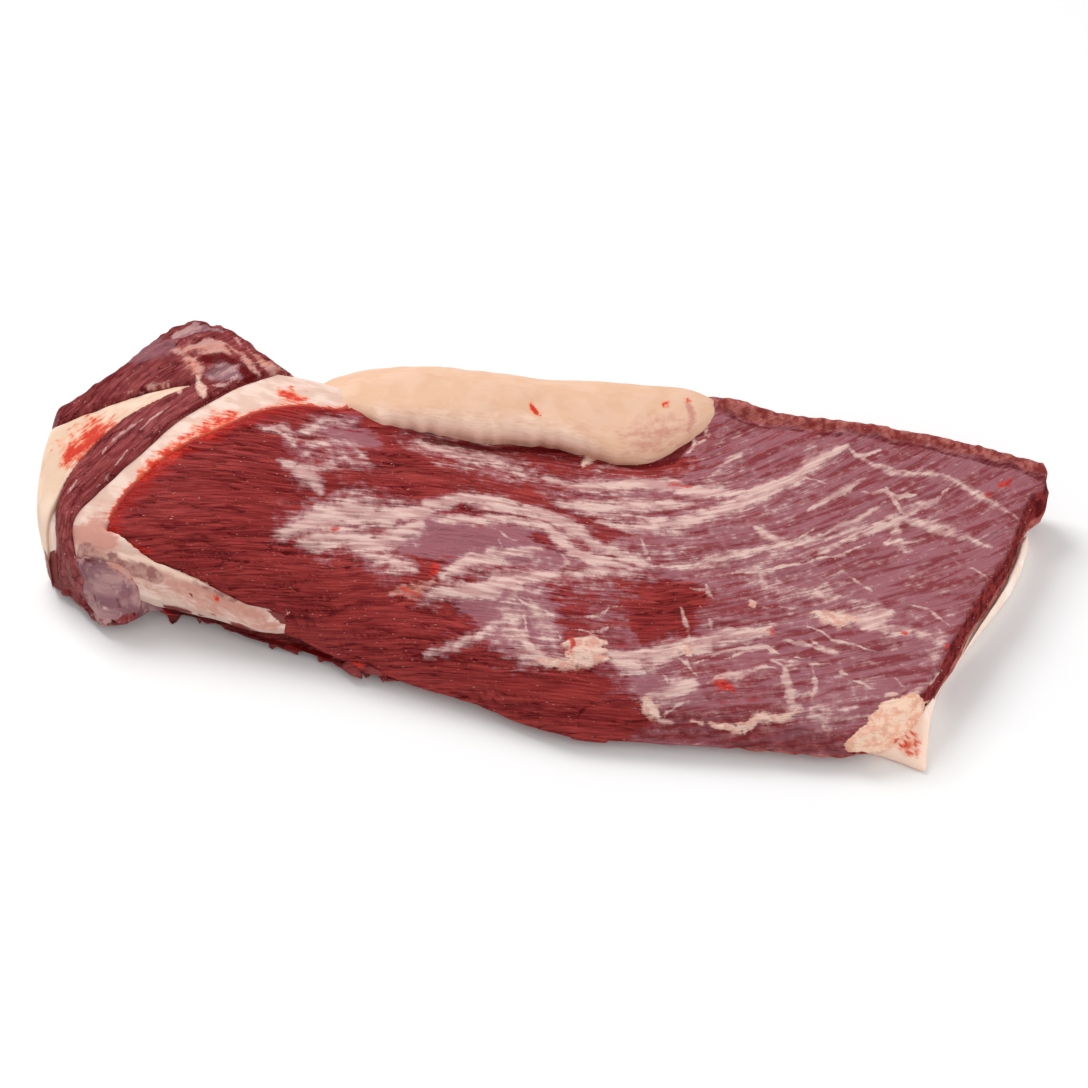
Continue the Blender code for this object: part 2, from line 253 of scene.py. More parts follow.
def whole_top(x, y):
    """The upper surface of the whole brisket, with a raised rim along the bare rear edge."""
    from_edge = line_y(FLAT_EDGES[1], x) - y
    rim = RIM_HEIGHT * smooth(13, 7, from_edge) * smooth(85, 105, x)
    front = 0.35 + 0.65 * rounding(y - line_y(BODY_FRONT, x), FRONT_ROUND)
    return (station_height(TOP_HEIGHTS, x, y) + rim) * front


def flat_top(x, y):
    return whole_top(x, y) + furrows(x, y)


def flat_under(x, y):
    return np.minimum(station_height(UNDER_HEIGHTS, x, y), whole_top(x, y) - FLAT_THIN)


def seam_top(x, y):
    return whole_top(x, y) - 1.0


def seam_under(x, y):
    thick = SEAM_THICK + (SEAM_THIN - SEAM_THICK) * smooth(-120, 60, x)
    below = flat_under(x, y) - thick
    hang = smooth(14, 4, y - line_y(SEAM_EDGES[0], x)) * smooth(-110, -140, x)
    hang *= smooth(-236, -204, x)
    below = np.maximum(below + (STRIP_HEIGHT - below) * hang, CAP_THICK + 3)
    return np.minimum(below, seam_top(x, y) - 3)


def point_top(x, y):
    strip = smooth(14, 8, y - line_y(POINT_EDGES[0], x))
    strip *= smooth(-212, -200, x) * smooth(-50, -70, x)
    high = whole_top(x, y) + 1.5
    return high + (STRIP_HEIGHT - high) * strip


def point_under(x, y):
    return CAP_THICK - 5 * smooth(11, 6, y - line_y(POINT_EDGES[0], x))


def cap_top(x, y):
    tongue = 4 + TONGUE_RISE * np.clip((y + 126) / 30, 0.0, 1.0)
    low = CAP_THICK + 2
    low = low + (tongue - low) * smooth(145, 165, x) * smooth(-70, -85, y)
    rim = whole_top(x, y) - 4
    return rim + (low - rim) * smooth(-263, -245, x)


def cap_under(x, y):
    return np.zeros_like(x)


def wedge_top(x, y):
    return whole_top(x, y) - 1.2


def wedge_under(x, y):
    return whole_top(x, y) - WEDGE_DEEP


def outline(edges, count=60):
    """The closed outline of four edges, as points in plan."""
    share = np.linspace(0, 1, count)
    front, rear, left, right = (edge(side)(share) for side in edges)
    return np.vstack([front, right[1:], rear[-2::-1], left[-2:0:-1]])


def inside_by(loop, x, y):
    """Distance in plan to a closed outline, above 0 inside it."""
    p = np.stack([x, y], axis=-1).reshape(-1, 2)
    nearest = np.full(len(p), 1e9)
    crossed = np.zeros(len(p), bool)
    for a, b in zip(loop, np.roll(loop, -1, 0)):
        side = b - a
        along = np.clip((p - a) @ side / max(side @ side, 1e-9), 0, 1)
        nearest = np.minimum(nearest, np.linalg.norm(p - a - along[:, None] * side, axis=1))
        over = (a[1] > p[:, 1]) != (b[1] > p[:, 1])
        rise = b[1] - a[1] if abs(b[1] - a[1]) > 1e-12 else 1e-12
        crossed ^= over & (p[:, 0] < a[0] + (p[:, 1] - a[1]) * side[0] / rise)
    return np.where(crossed, nearest, -nearest).reshape(np.shape(x))


def noise(p, size, seed=0):
    """Smooth noise from -1 to 1 at points p, with lumps of a given size, or of one for each axis."""
    q = np.asarray(p, float) / size
    i = np.floor(q).astype(np.int64)
    f = q - i
    f = f * f * (3 - 2 * f)
    total = 0.0
    for dx in (0, 1):
        for dy in (0, 1):
            for dz in (0, 1):
                h = (i[..., 0] + dx) * 73856093 ^ (i[..., 1] + dy) * 19349663
                h ^= (i[..., 2] + dz) * 83492791 ^ (seed * 265443577 + 12345)
                h = ((h ^ (h >> 13)) * 1274126177) & 0x7FFFFFFF
                share = (f[..., 0] if dx else 1 - f[..., 0]) * (f[..., 1] if dy else 1 - f[..., 1])
                share = share * (f[..., 2] if dz else 1 - f[..., 2])
                total = total + share * (((h >> 7) & 0xFFFF) / 32767.5 - 1)
    return total


def lines(length, fine, step):
    """Shares of a length from 0 to 1: fine lines near both ends and even ones between."""
    fine = np.array(fine, float)
    count = max(int(round((length - 2 * fine[-1]) / step)), 2)
    middle = np.linspace(fine[-1], length - fine[-1], count + 1)[1:-1]
    return np.concatenate([fine, middle, length - fine[::-1]]) / length


class Piece:
    """A piece of the meat: its points, and what each point knows for the materials."""

    def __init__(self, name, points, faces, grain):
        self.points, self.grain = points, grain
        self.facts = {}
        self.mesh = bpy.data.meshes.new(name)
        self.mesh.from_pydata(((points - MIDDLE) * MM).tolist(), [], faces)
        self.mesh.validate()
        self.mesh.update()
        self.obj = bpy.data.objects.new(name, self.mesh)
        bpy.context.scene.collection.objects.link(self.obj)
        self.mesh.shade_smooth()
        self.read_normals()

    def read_normals(self):
        out = np.zeros(self.points.size, np.float32)
        self.mesh.vertex_normals.foreach_get("vector", out)
        self.normals = out.reshape(-1, 3).astype(float)

    def write(self):
        """Puts the points into the mesh."""
        places = ((self.points - MIDDLE) * MM).astype(np.float32)
        self.mesh.vertices.foreach_set("co", places.ravel())
        self.mesh.update()

    def move(self, out):
        """Moves the points out along their normals, by mm."""
        self.points = self.points + self.normals * out[:, None]
        self.write()
        self.read_normals()

    def keep_up(self, low=0.0):
        """No point goes below a height over the table."""
        self.points[:, 2] = np.maximum(self.points[:, 2], low)
        self.write()

    def photo_places(self):
        """Photograph pixels of the points, how squarely each faces the camera, and its depth."""
        ray = self.points - CAMERA_PLACE
        depth = ray @ AHEAD
        px = PHOTO / 2 + (ray @ ACROSS) / depth * FOCAL
        py = PHOTO / 2 - (ray @ UPWARD) / depth * FOCAL
        facing = -(ray * self.normals).sum(axis=1) / np.linalg.norm(ray, axis=1)
        return px, py, facing, depth

    def fill(self, **values):
        """Facts that are the same all over the piece."""
        for name, value in values.items():
            self.facts[name] = np.full(len(self.points), float(value))

    def store(self):
        """Writes the facts and the grain into the mesh."""
        for name, values in self.facts.items():
            layer = self.mesh.attributes.new(name, "FLOAT", "POINT")
            layer.data.foreach_set("value", np.asarray(values, np.float32))
        layer = self.mesh.attributes.new("grain", "FLOAT_VECTOR", "POINT")
        layer.data.foreach_set("vector", np.asarray(self.grain, np.float32).ravel())


def layer_piece(name, edges, surfaces, radii, shoulder, steps, foot=4.0, dives=(),
                fine=((0, .6, 1.3, 2.2, 3.2),) * 2):
    """A layer as in the solids, with fine lines.

    radii and foot round its upper and lower edges, and shoulder is the share of the thickness
    that the upper ones keep. steps are the spacings along and across, and fine the lines beside
    its edges. Where it lies under another layer's outline, given in dives, its upper surface
    goes down, so that the other covers it.
    """
    plan = patch(edges)
    length = np.linalg.norm(plan(1, 0.5) - plan(0, 0.5))
    width = np.linalg.norm(plan(0.5, 1) - plan(0.5, 0))
    s, t = lines(length, fine[0], steps[0]), lines(width, fine[1], steps[1])
    n, m = len(s), len(t)
    p, q = np.broadcast_arrays(s[:, None], t)
    here = plan(p, q)
    x, y = here[..., 0], here[..., 1]
    gaps = [np.linalg.norm(here - plan(*other), axis=-1)
            for other in ((0.0, q), (1.0, q), (p, 0.0), (p, 1.0))]
    high, low = (surface(x, y) for surface in surfaces)

    def rounded(height, share, sizes):
        """A surface that bends to a share of the thickness at its edges, and its height there."""
        rim = low + (high - low) * share
        full = np.prod([rounding(gap, size) for gap, size in zip(gaps, sizes)], axis=0)
        return rim + (height - rim) * full, rim

    upper, rim = rounded(high, shoulder, radii)
    for loop, deep in dives:
        upper = upper - deep * smooth(-.6, 1.4, inside_by(loop, x, y))
    top = np.stack([x, y, np.maximum(upper, rim - DIVE_LIMIT)], axis=-1)
    bottom = np.stack([x, y, rounded(low, FOOT_SHARE, (foot,) * 4)[0]], axis=-1)

    # Each ring goes over the top, down the rear, back under by fewer lines, and up the front
    shares = np.arange(1, WALLS + 1)[:, None] / (WALLS + 1)
    picks = np.unique(np.concatenate([
        [0, 3], np.arange(6, m - 6, max(int(UNDER_STEP / steps[1]), 1)), [m - 4, m - 1]]))
    ring = np.concatenate([
        top, top[:, -1:] + (bottom[:, -1:] - top[:, -1:]) * shares,
        bottom[:, picks[::-1]], bottom[:, :1] + (top[:, :1] - bottom[:, :1]) * shares], axis=1)
    count = ring.shape[1]
    number = np.arange(n * count).reshape(n, count)
    a, b = number[:-1], number[1:]
    faces = np.stack([b, np.roll(b, -1, 1), np.roll(a, -1, 1), a], axis=-1)
    faces = faces.reshape(-1, 4).tolist()

    # Rows of points close each end, and triangles join the last row to the lines underneath
    added = []
    for k, turn in ((0, -1), (n - 1, 1)):
        rows = [number[k, :m]]
        for w in range(WALLS):
            first = n * count + len(added) * (m - 2)
            added.append(top[k, 1:-1] + (bottom[k, 1:-1] - top[k, 1:-1]) * shares[w])
            rows.append(np.concatenate([
                [number[k, -1 - w]], np.arange(first, first + m - 2), [number[k, m + w]]]))
        for one, other in zip(rows, rows[1:]):
            quads = np.stack([one[:-1], other[:-1], other[1:], one[1:]], axis=-1)
            faces += quads[:, ::turn].tolist()
        under = number[k, m + WALLS:m + WALLS + len(picks)][::-1]
        last, j, triangles = rows[-1], 0, []
        for i in range(m - 1):
            triangles.append((last[i], under[j], last[i + 1]))
            if j + 1 < len(picks) and 2 * (i + 1) >= picks[j] + picks[j + 1]:
                triangles.append((last[i + 1], under[j], under[j + 1]))
                j += 1
        faces += np.array(triangles)[:, ::turn].tolist()
    added = np.vstack(added)
    at_right = np.repeat((0, 1), len(added) // 2)
    column = np.tile(np.arange(1, m - 1), 2 * WALLS)
    points = np.vstack([ring.reshape(-1, 3), added])

    # The grain goes on down the walls and the ends, by the way from the top
    along = points[:, 0].copy()
    down = np.linalg.norm(added - top[at_right * (n - 1), column], axis=1)
    along[n * count:] += np.where(at_right, down, -down)
    across = np.empty((n, count))
    across[:, :m] = t * width
    down = np.linalg.norm(np.diff(ring[:, m - 1:], axis=1), axis=-1)
    across[:, m:] = width + np.cumsum(down, axis=1)
    across[:, -WALLS:] = -np.linalg.norm(ring[:, -WALLS:] - top[:, :1], axis=-1)
    across = np.concatenate([across.ravel(), (t * width)[column]])
    piece = Piece(name, points, faces, np.stack([along, across, points[:, 2] * .3], axis=1))

    def spread(values):
        """Values of the upper surface for all points, 0 elsewhere."""
        full = np.zeros((n, count))
        full[:, :m] = values
        return np.concatenate([full.ravel(), np.zeros(len(added))])

    piece.gaps = [spread(gap) for gap in gaps]
    piece.on_top = spread(1)
    piece.at_right = np.concatenate([np.zeros(n * count), at_right])
    return piece


def roll_piece(along=300, around=120):
    """The roll of fat: flattened rounds, tilted so that the front lip hangs low."""
    q = np.linspace(-1, 1, along)
    place = (np.sign(q) * (1 - (1 - np.abs(q)) ** 1.25) + 1) / 2 * (len(ROLL_LINE) - 1)
    middle = through(ROLL_LINE, place)
    half_width = through(ROLL_WIDTH, place)[:, None] / 2
    half_thick = through(ROLL_THICK, place)[:, None] / 2
    tilt = np.radians(through(ROLL_TILT, place))[:, None]
    angle = 2 * math.pi * np.arange(around) / around
    cos, sin = np.cos(angle), np.sin(angle)
    bite = np.where(cos < 0, smooth(4.4, 5.6, place)[:, None], 0)
    lip = 2.0 * noise(middle, 13, 71) + 1.0 * noise(middle, 5, 72)
    out = np.sign(cos) * np.abs(cos) ** 0.6 * half_width * (1 - .4 * bite)
    out = out + smooth(-.3, -.9, cos) * lip[:, None]
    up = np.sign(sin) * np.abs(sin) ** 0.62 * half_thick
    ring = np.stack([
        np.repeat(middle[:, :1], around, axis=1),
        middle[:, 1:2] + out * np.cos(tilt) - up * np.sin(tilt),
        middle[:, 2:3] + out * np.sin(tilt) + up * np.cos(tilt),
    ], axis=-1)
    points = ring.reshape(-1, 3)
    number = np.arange(along * around).reshape(along, around)
    a, b = number[:-1], number[1:]
    faces = np.stack([np.roll(a, -1, 1), np.roll(b, -1, 1), b, a], axis=-1)
    faces = faces.reshape(-1, 4).tolist()
    # Each end closes in two smaller rings and a point
    for k, turn in ((0, 1), (along - 1, -1)):
        centre = ring[k].mean(axis=0)
        previous = number[k]
        for share in (0.7, 0.35):
            row = np.arange(len(points), len(points) + around)
            points = np.vstack([points, centre + (ring[k] - centre) * share])
            quads = np.stack([previous, row, np.roll(row, -1), np.roll(previous, -1)], axis=-1)
            faces += quads[:, ::turn].tolist()
            previous = row
        tip = np.full(around, len(points))
        points = np.vstack([points, centre])
        faces += np.stack([previous, tip, np.roll(previous, -1)], axis=-1)[:, ::turn].tolist()
    turned = np.zeros(len(points))
    turned[:along * around] = np.tile(angle, along)
    return Piece("rear_roll_of_fat", points, faces,
                 np.stack([points[:, 0], turned * 18, points[:, 2]], axis=1))


def scraps_piece(piece, rings=7, around=12):
    """Small bent cones, each from a point of the piece that the photograph's camera sees."""
    px, py, facing, _ = piece.photo_places()
    seen = np.flatnonzero(facing > 0.02)
    points, faces = [], []
    for number, (root, tip, width) in enumerate(SCRAPS):
        off = (px[seen] - root[0]) ** 2 + (py[seen] - root[1]) ** 2
        start = piece.points[seen[np.argmin(off)]] + 3 * AHEAD
        way = ((tip[0] - root[0]) * ACROSS - (tip[1] - root[1]) * UPWARD) * MM_A_PIXEL
        way = way - 3.5 * AHEAD
        side = np.cross(way, AHEAD) / np.linalg.norm(np.cross(way, AHEAD))
        deep = np.cross(side, way) / np.linalg.norm(way)
        first = len(points)
        for k in range(rings):
            q = k / (rings - 1)
            middle = start + way * q + side * 1.6 * math.sin(2.6 * q + 2.3 * number)
            wide = width / 2 * math.sqrt(1 - q * q) * (1 - .45 * q) + .05
            for j in range(around):
                a = 2 * math.pi * j / around
                points.append(middle + side * wide * math.cos(a) + deep * wide * .6 * math.sin(a))
        for a in range(first, first + (rings - 1) * around, around):
            for j in range(around):
                n = (j + 1) % around
                faces.append([a + j, a + n, a + n + around, a + j + around])
        faces.append([first + j for j in range(around)][::-1])
        faces.append([first + (rings - 1) * around + j for j in range(around)])
    points = np.array(points)
    points[:, 2] = np.maximum(points[:, 2], .3)
    made = Piece("scraps_of_lean", points, faces, points * (.4, 1, 1))
    made.move(.9 * noise(points, 3.4, 91))
    made.keep_up(.2)
    return made


# Pieces
flat_loop, seam_loop, wedge_loop = map(outline, (FLAT_EDGES, SEAM_EDGES, WEDGE_EDGES))
flat = layer_piece(
    "flat_lean", FLAT_EDGES, (flat_top, flat_under), (1.5, 3.5, 3, 6), 0.35, (1.5, .8),
    fine=((0, .4, .9, 1.5, 2.2, 3.1), (0, .4, .9, 1.5, 2.2, 3.0)))
seam = layer_piece(
    "seam_of_fat", SEAM_EDGES, (seam_top, seam_under), (1.5, 3, 2, 2), 0.9, (1.5, 1.5),
    dives=((flat_loop, 7.0),))
point = layer_piece(
    "point_lean", POINT_EDGES, (point_top, point_under), (9, 4, 5, 10), 0.35, (1.5, 1.2),
    foot=6.0, dives=((flat_loop, 8.0), (seam_loop, 6.0), (wedge_loop, 8.0)))
cap = layer_piece(
    "cap_of_fat", CAP_EDGES, (cap_top, cap_under), (6, 5, 6, 6), 0.5, (2.0, 1.6),
    dives=((flat_loop, 5.0),))
wedge = layer_piece(
    "wedge_of_fat", WEDGE_EDGES, (wedge_top, wedge_under), (5, 2, 2, 2), 0.7, (1.0, 1.0),
    foot=3.0)
roll = roll_piece()

# Marks of the photograph, by kind: reach in mm, strength, and x, y pixels along the mark
FLAT_MARKS = {"silver": (
    (26, .15, 560, 486, 640, 496, 720, 500, 790, 490), (18, .12, 420, 440, 480, 455, 540, 478),
    (14, .15, 300, 528, 360, 526, 430, 512), (16, .1, 440, 590, 500, 576, 560, 560, 640, 560, 720, 556),
    (16, .1, 350, 440, 330, 460), (20, .1, 760, 580, 820, 590, 860, 600),
    (11, .1, 500, 600, 520, 636, 560, 645), (14, .15, 800, 720, 840, 700, 880, 690),
    (12, .15, 880, 620, 930, 640), (5, .7, 300, 434, 328, 419, 354, 421),
    (4, .7, 262, 424, 285, 434, 300, 452, 333, 439, 352, 443, 365, 456),
    (4, .7, 284, 458, 300, 473, 322, 467, 343, 458, 363, 460), (4, 1, 266, 428, 280, 425, 292, 432),
    (5, 1.3, 279, 459, 293, 464, 303, 470, 315, 479, 320, 490),
    (6, .7, 421, 436, 452, 445, 484, 460, 517, 471, 539, 478), (4, .6, 434, 462, 474, 467, 508, 475),
    (4, .6, 443, 443, 478, 451, 495, 458),
    (9, 1.2, 545, 478, 582, 484, 600, 484, 644, 482, 697, 490, 753, 493),
    (9, 1, 560, 500, 600, 508, 640, 505, 690, 503),
    (6, 1.4, 732, 502, 753, 493, 791, 479, 817, 458, 846, 448),
    (8, 1.5, 425, 502, 465, 497, 495, 501, 539, 510, 571, 528, 600, 545),
    (6, .9, 593, 541, 640, 562, 644, 567), (5, 1.1, 430, 518, 478, 521, 508, 517, 539, 521, 556, 532),
    (6, 1.5, 539, 521, 556, 532, 573, 549, 604, 560, 640, 569),
    (11, 1.5, 286, 530, 310, 518, 345, 512, 387, 514, 425, 510),
    (9, 1.3, 300, 540, 348, 536, 372, 545, 395, 536, 417, 524), (8, 1, 368, 549, 390, 560, 412, 566),
    (6, 1.2, 443, 575, 474, 562, 506, 553, 539, 545),
    (7, 1.4, 430, 595, 469, 593, 495, 586, 521, 580, 556, 573), (5, .9, 556, 573, 593, 571, 640, 569),
    (8, 1.2, 600, 520, 635, 528, 688, 520, 738, 505, 764, 493),
    (5, .8, 644, 567, 694, 564, 732, 555, 805, 543, 849, 531, 893, 517, 934, 499),
    (5, 1.3, 755, 527, 770, 535, 782, 543, 805, 545), (4, .7, 738, 572, 776, 558, 817, 549, 835, 543),
    (7, .7, 761, 581, 791, 590, 820, 593, 849, 596),
    (4, .9, 858, 455, 893, 470, 923, 473, 952, 479, 975, 490, 993, 505, 1017, 517),
    (4, .8, 893, 517, 899, 537, 905, 549), (4, .8, 885, 543, 911, 546),
    (4, .9, 908, 520, 946, 529, 993, 546), (9, 1.5, 852, 624, 870, 616, 888, 612),
    (5, .9, 858, 627, 893, 625, 937, 637, 964, 646), (6, .8, 644, 655, 688, 646, 732, 634, 773, 630),
    (6, 1.4, 612, 658, 644, 655, 688, 646, 732, 634, 770, 631), (3, .7, 717, 470, 730, 462, 744, 450),
    (6, 1.4, 607, 652, 625, 661, 642, 670), (6, .8, 610, 651, 640, 660, 669, 648, 690, 642),
    (6, 1.5, 644, 697, 674, 689, 700, 683), (4, .8, 781, 721, 794, 710, 824, 721, 859, 705),
    (3, .8, 794, 712, 830, 708, 859, 705), (3, .8, 773, 658, 800, 659, 824, 660),
    (2, .8, 808, 638, 835, 656, 843, 667), (3, .8, 888, 630, 920, 635, 944, 643),
    (3, .8, 923, 664, 942, 648), (3, .8, 904, 699, 931, 683, 947, 667),
    (3.4, .9, 425, 656, 453, 650, 475, 636, 498, 622, 515, 615), (6, .8, 498, 622, 515, 612, 510, 583),
    (7, .8, 510, 583, 508, 606, 517, 629, 526, 656, 560, 661), (7, .8, 530, 600, 545, 625, 556, 650),
    (4, 1.4, 508, 606, 517, 629, 530, 650, 556, 660), (9, .8, 425, 440, 470, 455, 520, 465),
), "vein": (
    (1.9, 1, 835, 558, 849, 573, 864, 584, 879, 593), (1.6, 1, 682, 608, 688, 625, 689, 648),
    (1.6, 1, 699, 606, 712, 618, 717, 640), (1.9, 1, 660, 650, 676, 655, 688, 664),
    (1.9, 1, 784, 662, 789, 678, 793, 699), (1.9, 1, 702, 404, 696, 424, 690, 444, 684, 460),
    (1.5, .9, 716, 404, 706, 422, 700, 440), (1.5, .9, 690, 446, 702, 440, 712, 428),
    (3, 1, 700, 683, 727, 678, 768, 664), (1.9, 1, 640, 536, 646, 548, 651, 561),
    (1.4, 1, 688, 588, 706, 587, 726, 584), (1.4, 1, 704, 582, 707, 590, 712, 597),
    (2.8, 1, 879, 464, 920, 474, 949, 477, 972, 490, 990, 502), (1.9, 1, 846, 446, 855, 457, 882, 448),
    (3, 1, 843, 540, 864, 534, 902, 518, 923, 505, 949, 487),
    (3, 1, 902, 518, 917, 523, 937, 531, 967, 537, 993, 546),
    (1.8, 1, 864, 490, 887, 490, 902, 496, 925, 492),
    (1.8, 1, 882, 482, 893, 496, 905, 515, 896, 531, 882, 546),
    (2.8, 1, 805, 511, 829, 499, 843, 490, 865, 478), (2.8, 1, 820, 537, 843, 523, 861, 517, 885, 500),
    (1.9, 1, 679, 552, 717, 561, 753, 549, 788, 543, 815, 528),
    (1.9, 1, 726, 573, 764, 570, 805, 561, 835, 555, 870, 540), (1.7, .9, 832, 555, 843, 567, 811, 590),
    (1.5, .8, 946, 558, 978, 570, 990, 580),
    (1.8, 1, 695, 659, 714, 652, 749, 647, 768, 646, 789, 654, 843, 656),
    (1.9, 1, 773, 659, 786, 664, 824, 662, 835, 659), (3, 1, 786, 664, 786, 681, 794, 694, 792, 710),
    (1.7, 1, 813, 670, 819, 686, 811, 699), (1.7, 1, 824, 651, 837, 667, 850, 672),
    (1.7, 1, 856, 678, 880, 691, 910, 694), (1.8, 1, 896, 675, 907, 686, 934, 681, 944, 667),
    (1.8, 1, 808, 624, 824, 630, 835, 640, 851, 643, 880, 650), (1.7, 1, 781, 640, 803, 643, 821, 648),
    (1.5, .9, 899, 603, 928, 608, 958, 630), (1.8, 1, 647, 710, 655, 718, 679, 723),
    (1.7, 1, 725, 681, 744, 673, 757, 667, 790, 668), (1.7, .9, 560, 548, 566, 560, 561, 572),
    (1.7, .9, 500, 535, 506, 548, 515, 556), (1.4, 1, 520, 606, 526, 624, 525, 652),
    (1.4, 1, 544, 612, 556, 632, 566, 640), (1.4, 1, 512, 596, 530, 604, 552, 616),
    (1.3, 1, 576, 616, 600, 612, 628, 604), (1.3, 1, 568, 628, 596, 630, 622, 620),
    (1.3, 1, 604, 652, 626, 668, 646, 674), (1.3, 1, 650, 656, 664, 672, 668, 686),
    (1.3, 1, 684, 650, 690, 666, 700, 674), (1.3, 1, 718, 660, 744, 652, 772, 646),
    (1.3, 1, 655, 718, 668, 708, 690, 700), (1.3, 1, 716, 520, 742, 515, 770, 505),
    (1.3, 1, 780, 470, 806, 476, 836, 488), (1.3, 1, 756, 604, 790, 606, 822, 612),
    (1.3, 1, 470, 520, 500, 528, 520, 541), (1.3, 1, 600, 470, 630, 476, 668, 474),
), "fat": (
    (8, 1, 820, 613, 838, 620, 854, 620), (4, .8, 676, 656, 684, 650, 690, 655),
    (3, .9, 749, 598, 752, 604), (6, 1.5, 566, 644, 584, 643, 602, 642),
    (6, 1.5, 568, 654, 584, 652, 604, 650), (5, .9, 645, 697, 650, 708, 653, 713),
    (2.6, .8, 690, 721, 714, 726, 743, 729, 757, 718, 781, 721, 794, 710),
    (4, .9, 540, 662, 561, 664, 585, 660, 607, 658), (3.4, .9, 583, 444, 591, 452, 582, 466),
), "sheen": (
    (20, 1.2, 470, 600, 520, 610, 550, 640), (10, 1.2, 640, 680, 660, 690, 700, 700),
    (16, 1.2, 410, 545, 440, 535, 500, 540, 560, 560), (16, 1, 330, 430, 370, 440),
), "bare": (
    (7, 1, 575, 516, 601, 518), (6, 1, 590, 536, 610, 540), (5, 1, 706, 510, 728, 509),
    (24, 1, 640, 590, 665, 605, 690, 600), (16, 1, 640, 625, 660, 628),
    (22, 1, 480, 700, 520, 715, 560, 715, 600, 725, 630, 715), (12, 1, 560, 690, 600, 685),
    (12, 1, 540, 440, 590, 455, 640, 470, 690, 462), (8, 1, 450, 505, 540, 500, 480, 490),
    (3, 1, 376, 528, 390, 524, 408, 522),
), "blood": (
    (2.4, 1, 333, 528, 337, 529), (2.6, .9, 430, 574, 436, 568, 433, 560),
    (2.6, .7, 399, 588, 410, 590, 419, 594), (3.4, 1, 1002, 486, 1012, 480), (2, 1, 988, 496, 992, 493),
    (2.4, 1, 771, 629, 776, 632), (3, 1, 711, 680, 720, 684, 736, 690), (2, 1, 902, 631, 905, 632),
    (3, 1, 946, 642, 950, 646), (2.6, .8, 668, 484, 692, 485), (2, 1, 571, 636, 571, 645, 570, 654),
    (5, .8, 139, 478, 150, 466, 165, 452, 182, 440), (4, .7, 198, 430, 215, 424, 230, 417),
    (5, .7, 112, 527, 122, 545, 148, 553), (2, .8, 896, 742, 904, 732, 914, 742, 920, 750),
), "pink": (
    (5, .8, 396, 592, 416, 588, 432, 580), (8, .7, 296, 536, 318, 526, 340, 528),
), "cream": (
    (9, 1.3, 912, 702, 900, 720, 880, 738, 856, 748), (10, 1.3, 913, 722, 906, 738, 890, 750),
    (10, 1.3, 916, 704, 922, 726, 922, 744, 916, 758),
# The dark marks here are painted shade: the fold's dark line, and the shadow under the roll's lip
), "dark": (
    (1.3, .7, 571, 728, 582, 709, 598, 694), (3, .9, 425, 438, 470, 444, 540, 450, 590, 452),
    (3.4, .9, 600, 458, 640, 466, 672, 458, 690, 440),
)}
SEAM_MARKS = {"blood": (
    (6, .9, 284, 390, 296, 396, 306, 399), (6, .6, 190, 433, 212, 424, 232, 415),
    (6, .6, 136, 478, 152, 464, 170, 448, 190, 434), (1.8, .8, 184, 592, 190, 594),
    (1.5, .5, 213, 595, 220, 602),
), "pink": (
    (12, .9, 75, 530, 92, 536, 108, 540), (14, .4, 120, 560, 150, 575, 180, 585, 230, 605, 270, 625),
), "skin": (
    (14, 1, 84, 556, 98, 584, 112, 612), (6, 1, 112, 556, 135, 566, 158, 580),
    (4, .9, 192, 580, 212, 588, 236, 600),
# The dark marks here are painted shade in the hollows under the strip's front and at its blunt end
), "dark": (
    (2.4, .9, 164, 611, 177, 609, 190, 616), (2, .8, 198, 618, 209, 615, 220, 622),
    (2, .9, 226, 628, 240, 631, 258, 635), (3.6, 1.5, 268, 612, 278, 616, 286, 622),
    (1.4, .5, 183, 586, 190, 598),
), "fat": (
    (3, .8, 123, 553, 150, 562, 180, 572, 230, 586, 262, 604),
)}
POINT_MARKS = {"vein": (
    (1.5, .9, 142, 418, 120, 434, 98, 455), (1.5, .9, 128, 450, 108, 470, 90, 492),
    (1.5, .8, 82, 470, 70, 486, 62, 500), (1.5, .8, 170, 404, 156, 414, 140, 428),
    (3, .9, 214, 384, 226, 383, 238, 374), (2.6, .6, 92, 600, 104, 607, 116, 618),
), "fat": (
    (3, .9, 197, 376, 201, 388, 204, 397), (2, .9, 178, 386, 182, 396),
), "pink": (
    (6, 1, 179, 348, 196, 345, 219, 346, 228, 352), (4, 1, 186, 354, 192, 362, 196, 371, 198, 377),
    (3, .8, 226, 344, 240, 352, 252, 366, 262, 372), (3, .9, 236, 338, 256, 354, 276, 370, 300, 380),
    (2.2, 1, 125, 394, 150, 390, 170, 388, 186, 386), (8, 1.2, 112, 560, 132, 568, 150, 580),
), "skin": (
    (4, 1.2, 174, 335, 190, 327, 208, 325, 222, 330), (8, 1, 212, 374, 224, 371, 236, 375),
    (20, 2.5, 96, 566, 108, 590, 122, 606), (16, 2.5, 120, 590, 138, 598, 150, 594),
), "dark": (
    (4, .8, 200, 358, 222, 358, 238, 362), (5, .8, 242, 366, 248, 376, 244, 384),
    (1.6, .15, 84, 556, 92, 562, 104, 561), (1.5, .12, 90, 572, 98, 577, 106, 573),
    (1.6, .15, 110, 584, 116, 598, 120, 614), (1.4, .1, 86, 584, 94, 594, 98, 606),
    (3, .7, 240, 630, 280, 644, 316, 660, 350, 670),
), "sheen": (
    (9, .8, 130, 355, 150, 347, 172, 345),
), "blood": (
    (3, .8, 163, 600, 170, 612, 170, 624), (3, .7, 262, 636, 300, 650, 330, 662, 365, 670),
)}
CAP_MARKS = {"dark": (
    (12, 1.6, 56, 562, 58, 580, 58, 594),
), "blood": (
    (3, .5, 900, 744, 908, 738, 914, 746, 920, 750),
), "fat": (
    (22, 1, 890, 750, 914, 744, 922, 726),
)}
WEDGE_MARKS = {"dark": (
    (12, 1.6, 42, 562, 47, 580, 52, 594),
), "blood": (
    (11, 1.2, 68, 457, 82, 444, 92, 436, 103, 429),
)}
